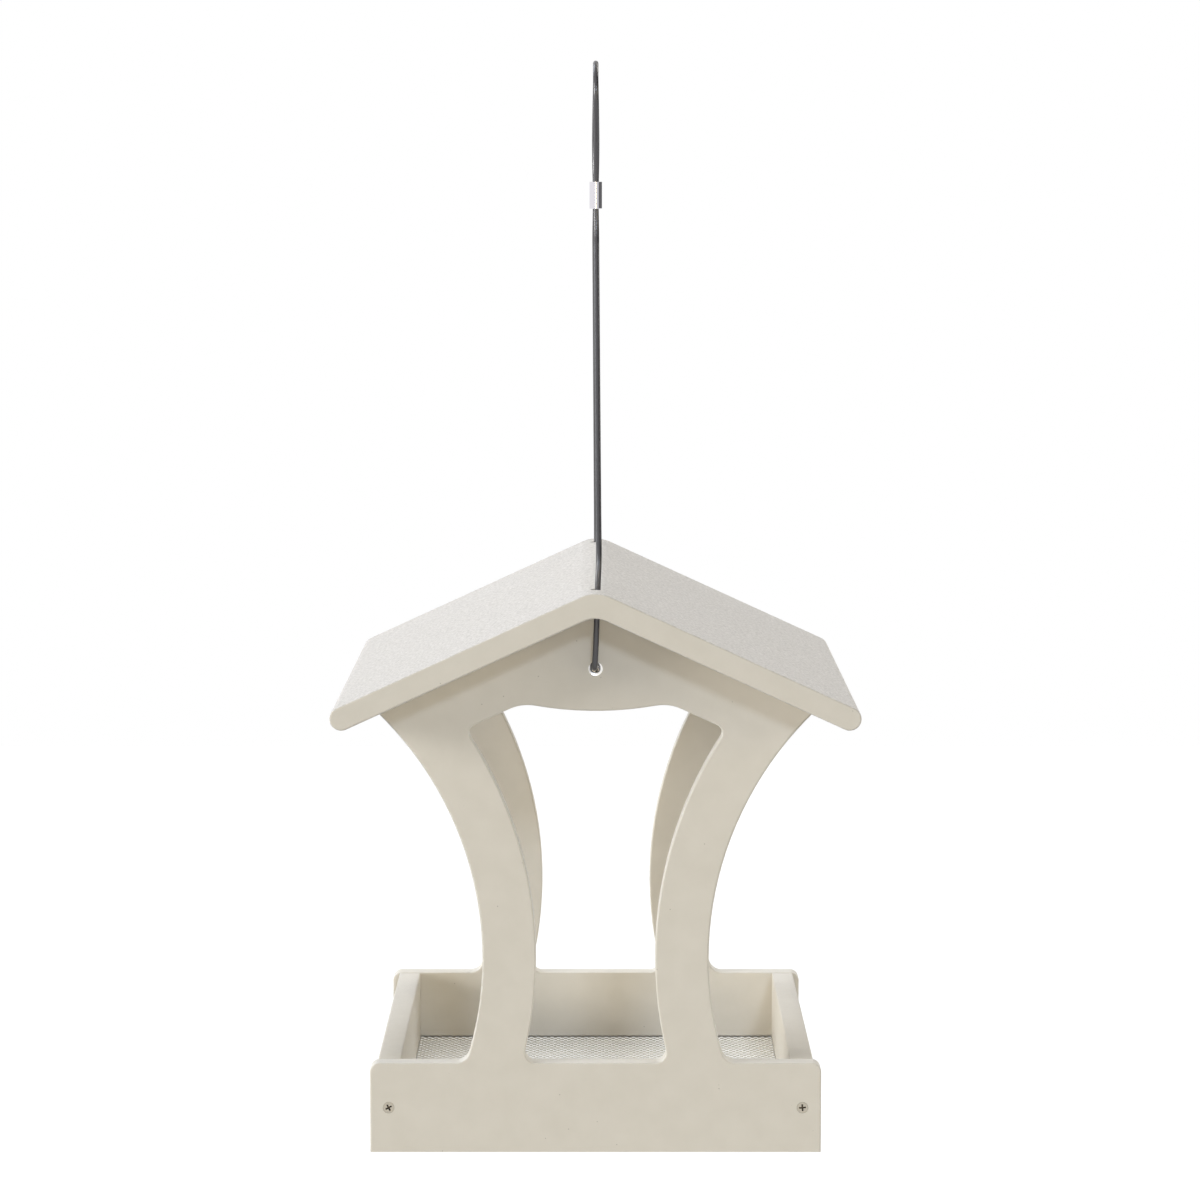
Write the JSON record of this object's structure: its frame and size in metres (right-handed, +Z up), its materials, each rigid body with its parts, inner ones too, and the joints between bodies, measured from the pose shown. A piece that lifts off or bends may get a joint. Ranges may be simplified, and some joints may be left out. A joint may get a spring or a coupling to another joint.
{
  "type": "fly-through bird feeder",
  "caption": "Hanging fly-through bird feeder: an open tray with a seed screen between two cut-out end panels, under a folded roof that slides up the cable it hangs from.",
  "frame": {"origin": "on the base plane, in the middle of the tray, under the ridge", "axes": "+Z up, +Y along the ridge from the front panel to the back panel, +X to the right seen from the front"},
  "size_m": [0.2926, 0.358, 0.6143],
  "materials": {
    "cream_board": "cream recycled plastic board, fine stipple, eased edges",
    "roof_board": "pale recycled plastic board with a fine sandy speckle, folded warm along the ridge",
    "screen_metal": "perforated sheet, mill finish",
    "screw_steel": "plated, with a cross recess",
    "eyelet_metal": "polished nickel plate",
    "crimp_aluminium": "bright, pressed sleeve",
    "cable_coating": "dark vinyl coat over steel cable"
  },
  "bodies": {
    "feeder": {"front_panel": "cream_board", "back_panel": "cream_board", "left_rail": "cream_board", "right_rail": "cream_board", "seed_screen": "screen_metal", "front_left_screw": "screw_steel", "front_right_screw": "screw_steel", "back_left_screw": "screw_steel", "back_right_screw": "screw_steel", "front_eyelet": "eyelet_metal", "back_eyelet": "eyelet_metal", "front_cable_stop": "crimp_aluminium", "back_cable_stop": "crimp_aluminium", "front_cable_riser": "cable_coating", "back_cable_riser": "cable_coating"},
    "roof": {"roof": "roof_board"},
    "hanger": {"cable_ferrule": "crimp_aluminium", "hanging_loop": "cable_coating", "front_cable_strand": "cable_coating", "back_cable_strand": "cable_coating"}
  },
  "joints": [
    {"name": "roof_lift", "type": "slide", "parent": "feeder", "child": "roof", "axis": [0, 0, 1], "range_m": [0, 0.06], "deforming": ["front_cable_riser", "back_cable_riser"]},
    {"name": "hanger_drop", "type": "slide", "parent": "roof", "child": "hanger", "axis": [0, 0, 1], "range_m": [-0.0815, 0], "deforming": ["front_cable_strand", "back_cable_strand"]}
  ],
  "couplings": [
    {"joint": "hanger_drop", "follows": "roof_lift", "ratio": -1.358}
  ]
}
